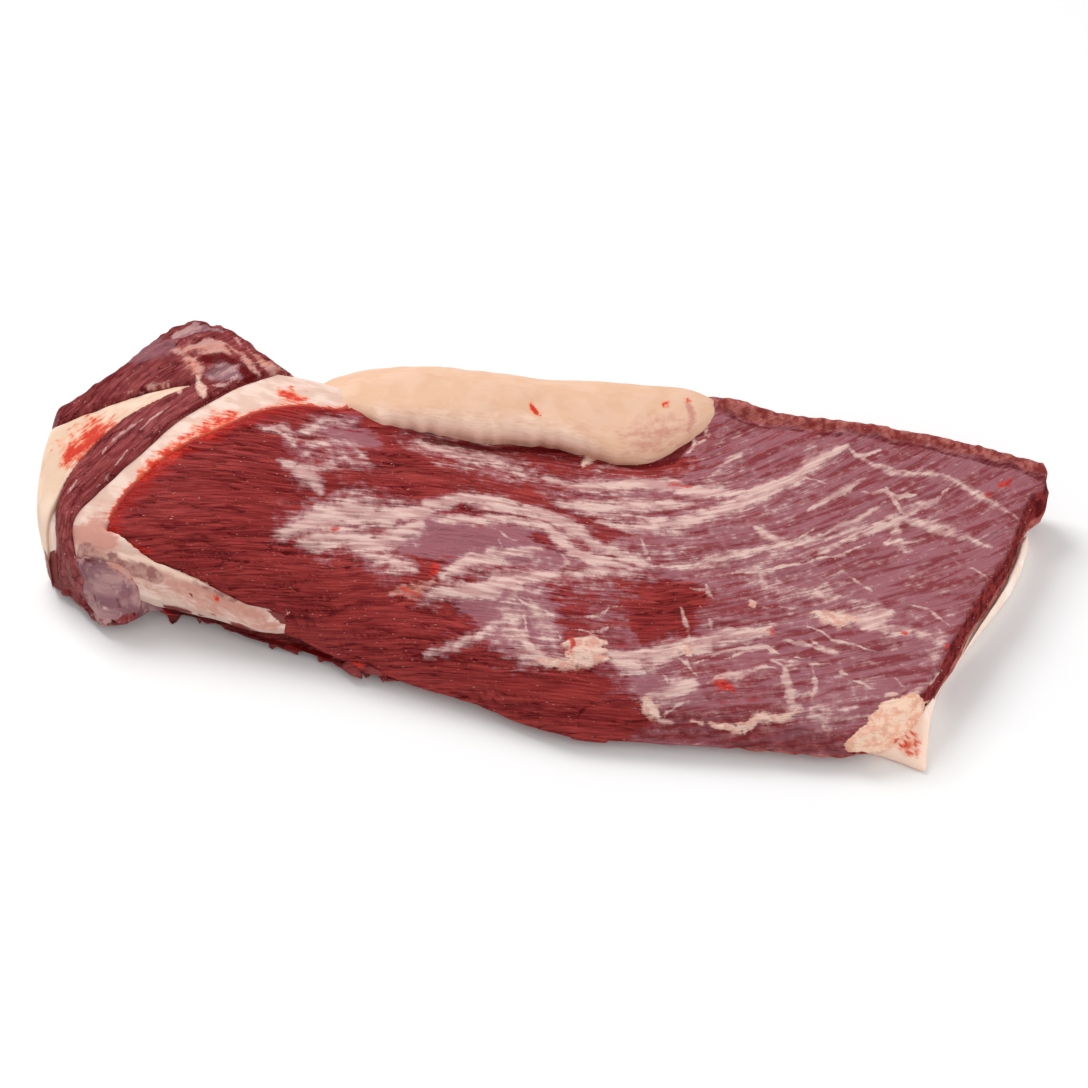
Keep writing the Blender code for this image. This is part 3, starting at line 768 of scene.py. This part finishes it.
# The roll's fat mark paints its lower band paler: partly its paler fat, partly painted light on the
# underside turned from the lamps
ROLL_MARKS = {"fat": (
    (9, .5, 380, 420, 440, 430, 500, 436, 560, 440, 590, 448),
), "pink": (
    (14, .15, 630, 440, 660, 438, 684, 424), (4, .7, 686, 402, 692, 414, 690, 428),
    (6, .5, 428, 424, 438, 430),
), "blood": (
    (1.3, .6, 531, 400, 533, 408, 541, 415), (2.4, .5, 664, 400, 670, 404), (2.4, .6, 684, 398, 692, 402),
)}
KINDS = ("silver", "fat", "blood", "dark", "sheen", "bare", "pink", "cream", "vein", "skin")


def mark(piece, marks):
    """Lays the marks on the piece: a mark's strength at its middle, 0 at its edge, -1 beyond."""
    px, py, facing, depth = piece.photo_places()
    seen = np.flatnonzero(facing > 0.05)
    wander = np.stack([1.6 * noise(piece.points, 11, k) + .7 * noise(piece.points, 4, k + 3)
                       for k in (31, 32, 33)], axis=1)
    moved = piece.points + wander
    thick = 1 + .35 * noise(piece.points, 13, 37)
    piece.fill(**dict.fromkeys(KINDS, -1))
    for kind, rows in marks.items():
        for reach, strength, *pixels in rows:
            spots = []
            for x, y in zip(pixels[::2], pixels[1::2]):
                off = (px[seen] - x) ** 2 + (py[seen] - y) ** 2
                near = seen[off < off.min() + 4]
                spots.append(piece.points[near[np.argmin(depth[near])]])
            nearest = np.full(len(moved), np.inf)
            for k, (a, b) in enumerate(zip(spots, spots[1:])):
                side = b - a
                along = np.clip((moved - a) @ side / max(side @ side, 1e-9), 0, 1)
                gap = np.linalg.norm(moved - a - along[:, None] * side, axis=1)
                taper = .5 + .6 * np.sin(math.pi * (k + along) / (len(spots) - 1))
                nearest = np.minimum(nearest, gap / taper)
            field = np.clip(1 - nearest / (reach * thick), -1, 1)
            field = np.where(field > 0, field * strength, field)
            piece.facts[kind] = np.maximum(piece.facts[kind], field)


for piece, marks in ((flat, FLAT_MARKS), (seam, SEAM_MARKS), (point, POINT_MARKS),
                     (cap, CAP_MARKS), (wedge, WEDGE_MARKS), (roll, ROLL_MARKS)):
    mark(piece, marks)

# Fibres of the flat, as lines through the photograph's pixels, from the rear to the front
FIBRE_PX = (100, 232, 330, 430, 540, 640, 720, 800, 880, 960, 1050)
FIBRE_PY = (
    (395, 415, 432, 440, 458, 468, 456, 422, 376, 326, 270),
    (440, 452, 465, 472, 485, 498, 492, 466, 424, 378, 326),
    (480, 482, 492, 500, 515, 530, 524, 500, 465, 425, 380),
    (520, 520, 525, 530, 545, 560, 553, 535, 505, 470, 430),
    (560, 558, 560, 565, 580, 592, 585, 568, 540, 512, 475),
    (600, 598, 600, 602, 615, 625, 618, 602, 580, 555, 520),
    (640, 638, 640, 642, 652, 660, 652, 640, 622, 600, 570),
    (680, 678, 680, 682, 690, 698, 692, 682, 668, 650, 625),
    (720, 718, 720, 722, 730, 736, 730, 722, 712, 700, 685),
)
FIBRE_GAP = 31.0


def fibre_grain(piece):
    """Positions along and across the fibres that the lines above describe."""
    px, py, _, _ = piece.photo_places()
    place = np.interp(px, FIBRE_PX, range(len(FIBRE_PX)))
    rows = np.stack([through(line, place) for line in FIBRE_PY])
    i = np.clip((py > rows).sum(axis=0) - 1, 0, len(rows) - 2)
    near, far = (np.take_along_axis(rows, (i + k)[None], 0)[0] for k in (0, 1))
    across = (i + (py - near) / (far - near)) * FIBRE_GAP
    across += 2.2 * noise(piece.points, 40, 81) + .8 * noise(piece.points, 14, 82)
    return np.stack([piece.points[:, 0], across, piece.points[:, 2] * 0.3], axis=1)


def bent_grain(piece):
    """The grain of the point turns round the left end, beside the seam."""
    x, y, z = piece.points.T
    turned = np.arctan2(y, x - BEND_X)
    return np.stack([turned * 100, -inside_by(seam_loop, x, y), z], axis=1)


def shape_flat():
    """Waves, cracks, raised marks and the crumbled rear rim."""
    points, grain, facts, on_top = flat.points, flat.grain, flat.facts, flat.on_top
    x = points[:, 0]
    left, right, front, rear = flat.gaps
    to_left = smooth(90, -60, x)
    cracks = np.abs(noise(grain, (30, 4.6, 14), 3) + .35 * noise(grain, (9, 1.9, 6), 4))
    crease = smooth(.2, .03, cracks) * smooth(-.35, .25, noise(grain, (26, 9, 14), 7)) * on_top
    # The creases also darken the lean in the finish, as painted shade
    facts["crease"] = crease * (.25 + .75 * to_left)
    facts["edge"] = np.where(on_top > 0, left, FAR)
    facts["cut"] = np.maximum(smooth(2.6, 1.4, right) * on_top, flat.at_right)
    # Near its front edge the lean is darker red, with painted shade where the top turns down
    facts["side"] = smooth(13, 9, front) * smooth(20, 60, x) * on_top
    # The rim, and a dark line of painted shadow beneath it
    bare_rear = smooth(84, 98, x)
    rear = rear + 1.5 * noise(points, 9, 51)
    facts["rim"] = smooth(11.5, 10, rear) * bare_rear
    shadow_under_rim = .75 - np.abs(rear - 12.2) / 1.6 + .8 * noise(points, 12, 54)
    facts["dark"] = np.maximum(facts["dark"], np.clip(shadow_under_rim, -1, .16) - 2 * (1 - bare_rear))
    waves = .7 * noise(grain, (60, 11, 30), 5) + .3 * noise(grain, (22, 3.4, 30), 6)
    waves += .2 * noise(grain, (12, 1.7, 9), 16)
    raised = sum(np.maximum(facts[kind], 0) * high for kind, high in (
        ("fat", 1.3), ("silver", .4), ("vein", .5), ("cream", 2.0)))
    crumbs = facts["rim"] * (noise(points, 8, 52) + .6 * noise(points, 3.4, 53))
    calm = smooth(0, 9, np.where(on_top > 0, left, 9))
    flat.move(waves * calm - 1.1 * crease * calm * (.3 + .7 * to_left) + raised + crumbs)
    flat.points[:, 2] -= (1 - calm) * (.3 + furrows(*flat.points[:, :2].T))
    flat.keep_up()
    # Membranes and streaks cover more of the lean the further to the right
    x = flat.points[:, 0]
    bared = np.maximum(facts["bare"], 0)
    facts["veil"] = -.9 + 1.85 * smooth(-90, 80, x) + .7 * smooth(90, 220, x) - 2.4 * bared
    facts["streaks"] = -1.3 + 1.12 * smooth(-110, 60, x) - 2 * bared


def shape_point():
    """Bumps of the torn lobe and of the nose, and a ragged fringe along the front."""
    points, grain, facts, on_top = point.points, point.grain, point.facts, point.on_top
    x, y, z = points.T
    point.fill(cut=0, edge=FAR, veil=-.3, streaks=-1.1)
    # These creases also darken the lean in the finish, as painted shade
    facts["crease"] = smooth(.16, .02, np.abs(noise(grain, (26, 4.2, 12), 8))) * .6
    lobe = smooth(60, 84, y) * smooth(-90, -120, x)
    bare = 1 - np.maximum(smooth(-.2, .3, facts["pink"]), smooth(-.2, .3, facts["skin"]))
    facts["side"] = lobe * .5 * bare
    rear = np.where(on_top > 0, point.gaps[3], 9)
    rough = 2.5 * noise(points, 8, 66) + 1.5 * noise(points, 3, 67)
    facts["rim"] = smooth(6, 3, rear + rough) * lobe * bare
    hump, nose = (smooth(*reach, np.hypot(x - middle[0], y - middle[1]))
                  for middle, reach in ((HUMP_MIDDLE, (46, 12)), (NOSE_MIDDLE, (34, 18))))
    bumps = smooth(9, 2, rear) * lobe * 1.6 * noise(points, 4, 68)
    bumps += .6 * (lobe + hump) * noise(points, 3.4, 69)
    bumps += hump * (2.0 * noise(points, 12, 61) + 1.1 * noise(points, 5, 62))
    folds = smooth(.3, 0, np.abs(noise(points, (6, 14, 9), 65)))
    bumps += nose * (1.2 * noise(points, 9, 64) - .8 * folds)
    fringe = (1 - on_top) * smooth(14, 9, z) * smooth(-30, -60, x) * (y < 0)
    fringe *= 2.2 * noise(points, (6, 8, 5), 63)
    point.move(.5 * noise(grain, (30, 5, 12), 9) - .6 * facts["crease"] + bumps + fringe)
    point.keep_up(.2)


flat.grain = fibre_grain(flat)
point.grain = bent_grain(point)
shape_flat()
shape_point()
for piece, size, deep in ((seam, 14, .5), (cap, 16, .6), (wedge, 10, .4), (roll, 22, .9)):
    out = deep * noise(piece.points, size, 11) + deep * .4 * noise(piece.points, size / 3, 12)
    if piece is cap:
        out = out * smooth(0.3, 2, piece.points[:, 2])
    piece.move(out)
    piece.keep_up()
    piece.fill(edge=FAR)
scraps = scraps_piece(point)
mark(scraps, {})
scraps.fill(crease=0, side=.6, cut=0, rim=0, edge=FAR, veil=-1.3, streaks=-1.3)

# The seam bleeds along the flat, apart from its front, and where it goes under it
x, y, _ = seam.points.T
outside = 30 * smooth(2, -8, y) - inside_by(flat_loop, x, y)
outside -= 7 * smooth(2, .6, outside)
seam.facts["edge"] = np.where(seam.on_top > 0, outside, FAR)


def srgb(values):
    """A colour given by its 0 to 255 screen values, as the renderer holds it."""
    shares = [v / 255 for v in values]
    return (*[v / 12.92 if v <= 0.04045 else ((v + 0.055) / 1.055) ** 2.4 for v in shares], 1)


class Finish:
    """A material made of nodes. Its colours are screen values or other nodes' results."""

    def __init__(self, name):
        self.material = bpy.data.materials.new(name)
        self.material.use_nodes = True
        self.tree = self.material.node_tree
        self.shader = self.tree.nodes["Principled BSDF"]
        self.long = self.noise((15, 3.4, 8), 2, .5, 7)
        self.short = self.noise((4, 1.4, 3), 2, .5, 8)
        self.round = self.noise((5, 5, 5), 3, .6, 9, True)

    def node(self, kind, inputs=(), **settings):
        made = self.tree.nodes.new(kind)
        for key, value in settings.items():
            setattr(made, key, value)
        for key, value in dict(inputs).items():
            self.put(made.inputs[key], value)
        return made

    def put(self, socket, value):
        if isinstance(value, bpy.types.NodeSocket):
            self.tree.links.new(value, socket)
        else:
            socket.default_value = value

    def math(self, operation, *values):
        made = self.node("ShaderNodeMath", operation=operation, inputs=dict(enumerate(values)))
        return made.outputs["Value"]

    def scaled(self, value, by, plus):
        """A value times one amount, plus another."""
        return self.math("MULTIPLY_ADD", value, by, plus)

    def fact(self, name, share=None):
        """What the points know by a name, or a share of it."""
        value = self.node("ShaderNodeAttribute", attribute_name=name).outputs["Fac"]
        return self.math("MULTIPLY", value, share) if share else value

    def noise(self, size, detail, rough, seed, own=False):
        """Noise from 0 to 1 with lumps of a size in mm, along the grain or the object's own axes."""
        if own:
            source, share = self.node("ShaderNodeTexCoord").outputs["Object"], 1 / MM
        else:
            source = self.node("ShaderNodeAttribute", attribute_name="grain").outputs["Vector"]
            share = 1.0
        place = self.node("ShaderNodeVectorMath", operation="MULTIPLY_ADD", inputs={
            0: source, 1: [share / v for v in size], 2: (seed, seed, seed)}).outputs["Vector"]
        made = self.node("ShaderNodeTexNoise", inputs={
            "Vector": place, "Scale": 1.0, "Detail": detail, "Roughness": rough})
        return made.outputs["Fac"]

    def step(self, value, low, high, top=1.0):
        made = self.node("ShaderNodeMapRange", interpolation_type="SMOOTHSTEP", inputs={
            "Value": value, "From Min": low, "From Max": high, "To Min": 0.0, "To Max": top})
        return made.outputs["Result"]

    def line(self, value, wide, top):
        """Thin lines where a noise passes through its middle."""
        off = self.math("ABSOLUTE", self.math("SUBTRACT", value, .5))
        return self.step(off, wide, wide * .25, top)

    def uneven(self, value, amounts):
        """A mark's value, with long, short and round lumps."""
        for lumps, amount in zip((self.long, self.short, self.round), amounts):
            value = self.scaled(lumps, amount, self.math("SUBTRACT", value, amount / 2))
        return value

    def ragged(self, fact, amounts, low, high, top=1.0):
        """How much of a mark shows, with a ragged edge."""
        return self.step(self.uneven(self.fact(fact), amounts), low, high, top)

    def bleeding(self, lumps, amount, reach):
        """Above 0 as far from the edge, in mm, as lumps times an amount, plus a reach."""
        return self.math("SUBTRACT", self.scaled(lumps, amount, reach), self.fact("edge"))

    def mix(self, share, a, b):
        made = self.node("ShaderNodeMix", data_type="RGBA")
        for number, value in ((0, share), (6, a), (7, b)):
            self.put(made.inputs[number], srgb(value) if isinstance(value, tuple) else value)
        return made.outputs[2]

    def blend(self, value, low, high, a, b):
        """A colour that goes from a to b as a value goes from low to high."""
        return self.mix(self.step(value, low, high), a, b)

    def coat(self, share, tone):
        """Lays a colour over what is there."""
        self.colour = self.mix(share, self.colour, tone)

    def complete(self, rough, height, strength, shine, tint):
        """Sets the shader: colour, roughness, a bump in mm, and the strength of its shine."""
        bump = self.node("ShaderNodeBump", inputs={
            "Height": height, "Strength": strength, "Distance": MM})
        for socket, value in (
            ("Base Color", self.colour), ("Roughness", rough), ("Normal", bump.outputs["Normal"]),
            ("Specular IOR Level", shine), ("Specular Tint", (*tint, 1)),
        ):
            self.put(self.shader.inputs[socket], value)
        return self.material


def lean_finish(name, dark, light, sheen):
    """Lean meat: fibres, membranes, fat and blood on them."""
    f = Finish(name)
    fibre = f.noise((17, 1.7, 5), 3, .6, 1)
    thin = f.noise((9, .6, 3), 1, .5, 2)
    broad = f.noise((46, 16, 30), 2, .5, 3)
    folded = f.noise((30, 5, 10), 2, .5, 31)
    folds = f.noise((32, 4.2, 12), 2, .45, 41)
    f.colour = f.blend(fibre, .36, .66, dark, light)
    # Painted highlights: light fine streaks along the fibres
    f.coat(f.step(thin, .56, .74, .25), (184, 92, 86))
    f.coat(f.step(thin, .44, .3, .3), (90, 16, 20))
    f.coat(f.step(broad, .5, .66, .3), (112, 24, 28))
    # Painted shade: darker bands beside the folds, and thin dark lines in the rifts
    f.coat(f.line(folds, .1, .25), (96, 14, 18))
    shaded_rifts = f.math("MULTIPLY", f.line(folds, .022, .75), f.step(broad, .4, .5))
    f.coat(shaded_rifts, (70, 4, 10))
    # Painted shade in the creases
    f.coat(f.fact("crease", .5), (84, 8, 14))
    # Thin membranes tint the lean
    f.coat(f.ragged("veil", (1.8, 1.1, .8), 0, 1.1, .88),
           f.blend(folded, .42, .58, sheen, (132, 62, 68)))
    f.coat(f.ragged("sheen", (2.4, 1.2), -.1, .4, .85), sheen)
    skinned = f.ragged("skin", (1.2, .8, 1.6), -.1, .3, .94)
    skin = f.blend(folded, .36, .62, (140, 98, 106), (184, 142, 140))
    skin = f.mix(f.step(f.round, .56, .7, .4), skin, (206, 172, 164))
    f.coat(skinned, f.mix(f.line(broad, .03, .6), skin, (104, 62, 70)))
    f.coat(f.ragged("pink", (1.4, 1.2, 2.2), -.1, .8, .84),
           f.blend(f.round, .4, .6, (222, 152, 132), (206, 158, 150)))
    # White membranes: where marked, and in streaks along the grain
    milky = f.uneven(f.math("MAXIMUM", f.fact("silver"), f.fact("streaks")), (1.5, .7, 2.1))
    milky = f.scaled(fibre, 1.4, f.math("SUBTRACT", milky, .7))
    silver = f.step(milky, .1, 1.05, .92)
    white = f.blend(f.long, .38, .62, (196, 152, 148), (224, 190, 180))
    f.coat(f.step(milky, -.4, .5, .62), f.blend(folded, .4, .6, (160, 110, 118), (186, 140, 142)))
    f.coat(silver, white)
    # Cut and torn faces, the flat's front edge darker red with painted shade on it, and the crumbled rim
    raw = f.blend(f.round, .38, .62, (80, 14, 18), (132, 44, 44))
    f.coat(f.fact("side", .46), raw)
    f.coat(f.fact("cut"), raw)
    f.coat(f.fact("rim", .92), f.blend(f.round, .36, .64, (130, 48, 44), (182, 104, 96)))
    veins = f.ragged("vein", (.5, .6, 1.3), .1, .75, .85)
    f.coat(veins, white)
    fat = f.ragged("fat", (.6, .7, 1.7), -.1, .5, .94)
    f.coat(fat, f.blend(f.round, .42, .62, (234, 200, 184), (218, 162, 146)))
    f.coat(f.ragged("cream", (.5, .4, .6), -.05, .1),
           f.blend(f.round, .42, .6, (240, 204, 180), (228, 172, 146)))
    f.coat(f.step(f.bleeding(f.long, 26, -8), -7, 2, .5), (176, 34, 28))
    f.coat(f.ragged("blood", (1.2, 2.4, 1.6), -.1, .8, .85),
           f.blend(f.short, .4, .6, (156, 14, 14), (208, 54, 40)))
    # Dark marks: painted shadow under the roll's lip and beneath the rim, painted shade in hollows and
    # folds, and darker lean
    f.coat(f.ragged("dark", (.8, .8), -.15, .35, .86), (92, 8, 12))
    # Painted glints: tiny pale flecks stand in for wet highlights
    f.coat(f.step(f.noise((1.6, .7, 1.5), 0, .5, 12), .79, .87, .75), (226, 176, 166))
    height = f.math("MULTIPLY", f.scaled(thin, .4, fibre),
                    f.scaled(f.math("MAXIMUM", silver, skinned), -.7, 1))
    for share, amount in ((silver, .8), (veins, .5), (fat, .8), (shaded_rifts, -.45)):
        height = f.scaled(share, amount, height)
    rough = f.scaled(f.short, .5, .12)
    rough = f.scaled(f.fact("cut"), .5, rough)
    return f.complete(rough, height, .7, .07, (1, .5, .48))


def fat_finish(name, base, pale, warm):
    """Fat: cream lumps, pink tints, blood, and thin skins."""
    f = Finish(name)
    lumps = f.noise((14, 9, 12), 2, .5, 1)
    f.colour = f.blend(lumps, .42, .6, base, pale)
    f.coat(f.step(f.long, .52, .68, .4), warm)
    f.coat(f.step(f.short, .62, .76, .15), (220, 168, 148))
    f.coat(f.ragged("pink", (.8, .8, .6), -.2, .5, .85), (200, 136, 122))
    f.coat(f.ragged("silver", (1, 1), -.1, .5, .8), (206, 168, 160))
    f.coat(f.ragged("skin", (.5, .5, .6), -.1, .2, .95),
           f.blend(f.round, .36, .64, (152, 100, 96), (192, 146, 134)))
    f.coat(f.ragged("fat", (.6, .8, .8), -.4, .5, .9), (248, 214, 194))
    bleeding = f.bleeding(f.short, 16, -6.5)
    f.coat(f.step(bleeding, -3, 2, .6), (228, 116, 84))
    f.coat(f.step(bleeding, 0, 3, .8), (196, 52, 40))
    f.coat(f.ragged("blood", (1.4, 1.6, 2.2), -.4, .6, .8), (236, 120, 80))
    f.coat(f.ragged("blood", (1.6, 2.4, 2.8), .1, .9, .9), (206, 40, 26))
    # Dark marks: painted shade in the hollows under the seam's front, and darker red on the cap's and
    # wedge's left walls
    f.coat(f.ragged("dark", (.8, 1), -.1, .3, .94), (122, 30, 33))
    rough = f.scaled(f.short, .4, .3)
    return f.complete(rough, f.scaled(f.short, .4, lumps), .5, .14, (1, .85, .8))


lean = lean_finish("lean of the flat", (128, 40, 42), (164, 60, 56), (158, 101, 110))
dark_lean = lean_finish("lean of the point", (126, 50, 53), (158, 80, 78), (148, 100, 108))
fat_pink = fat_finish("fat of the seam", (220, 186, 170), (234, 206, 192), (218, 170, 154))
fat_cream = fat_finish("fat of the wedge", (230, 198, 172), (240, 212, 190), (226, 184, 156))
# The cap's fat is painted paler than the other fats: painted light on its shaded edges near the floor
fat_painted_lighter = fat_finish("fat of the cap", (250, 226, 210), (255, 240, 228), (246, 212, 192))
fat_roll = fat_finish("fat of the roll", (226, 184, 154), (230, 190, 164), (222, 176, 146))

for piece, finish, node, slot in (
    (flat, lean, "flat_muscle", "lean"),
    (seam, fat_pink, "seam_fat", "fat"),
    (point, dark_lean, "point_muscle", "lean"),
    (scraps, dark_lean, "point_muscle", "lean"),
    (cap, fat_painted_lighter, "fat_cap", "fat"),
    (wedge, fat_cream, "fat_cap", "fat"),
    (roll, fat_roll, "rear_fat_roll", "fat"),
):
    piece.store()
    piece.mesh.materials.append(finish)
    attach(piece.obj, "root")
    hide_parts(node)

# Floor, light and camera
scene = bpy.context.scene
bpy.ops.mesh.primitive_plane_add(size=12, location=(0, 0, -0.0003))
floor = bpy.context.object
floor.name = "floor"
paint = bpy.data.materials.new("floor")
paint.use_nodes = True
paint.node_tree.nodes["Principled BSDF"].inputs["Base Color"].default_value = (0.9, 0.9, 0.9, 1)
paint.node_tree.nodes["Principled BSDF"].inputs["Roughness"].default_value = 0.9
floor.data.materials.append(paint)

world = bpy.data.worlds.new("studio")
scene.world = world
world.use_nodes = True
world.node_tree.nodes["Background"].inputs["Color"].default_value = (1, 1, 1, 1)
world.node_tree.nodes["Background"].inputs["Strength"].default_value = 0.56

for name, place, size, power in (
    ("key", (-0.7, 0.8, 1.4), 0.9, 20),
    ("fill", (0.6, -1.4, 1.0), 1.5, 7),
    ("side", (1.6, -0.5, 0.5), 1.0, 6),
):
    light = bpy.data.lights.new(name, "AREA")
    light.energy = power
    light.size = size
    lamp = bpy.data.objects.new(name, light)
    lamp.location = place
    lamp.rotation_mode = "QUATERNION"
    lamp.rotation_quaternion = (-Vector(place)).to_track_quat("-Z", "Y")
    scene.collection.objects.link(lamp)

camera = bpy.data.cameras.new("camera")
camera.lens = LENS
camera.sensor_width = SENSOR
camera.clip_start = 0.05
eye = bpy.data.objects.new("camera", camera)
eye.location = Vector((CAMERA_PLACE - MIDDLE) * MM)
eye.rotation_mode = "QUATERNION"
eye.rotation_quaternion = Vector(AHEAD).to_track_quat("-Z", "Y")
scene.collection.objects.link(eye)
scene.camera = eye
scene.view_settings.view_transform = "Standard"
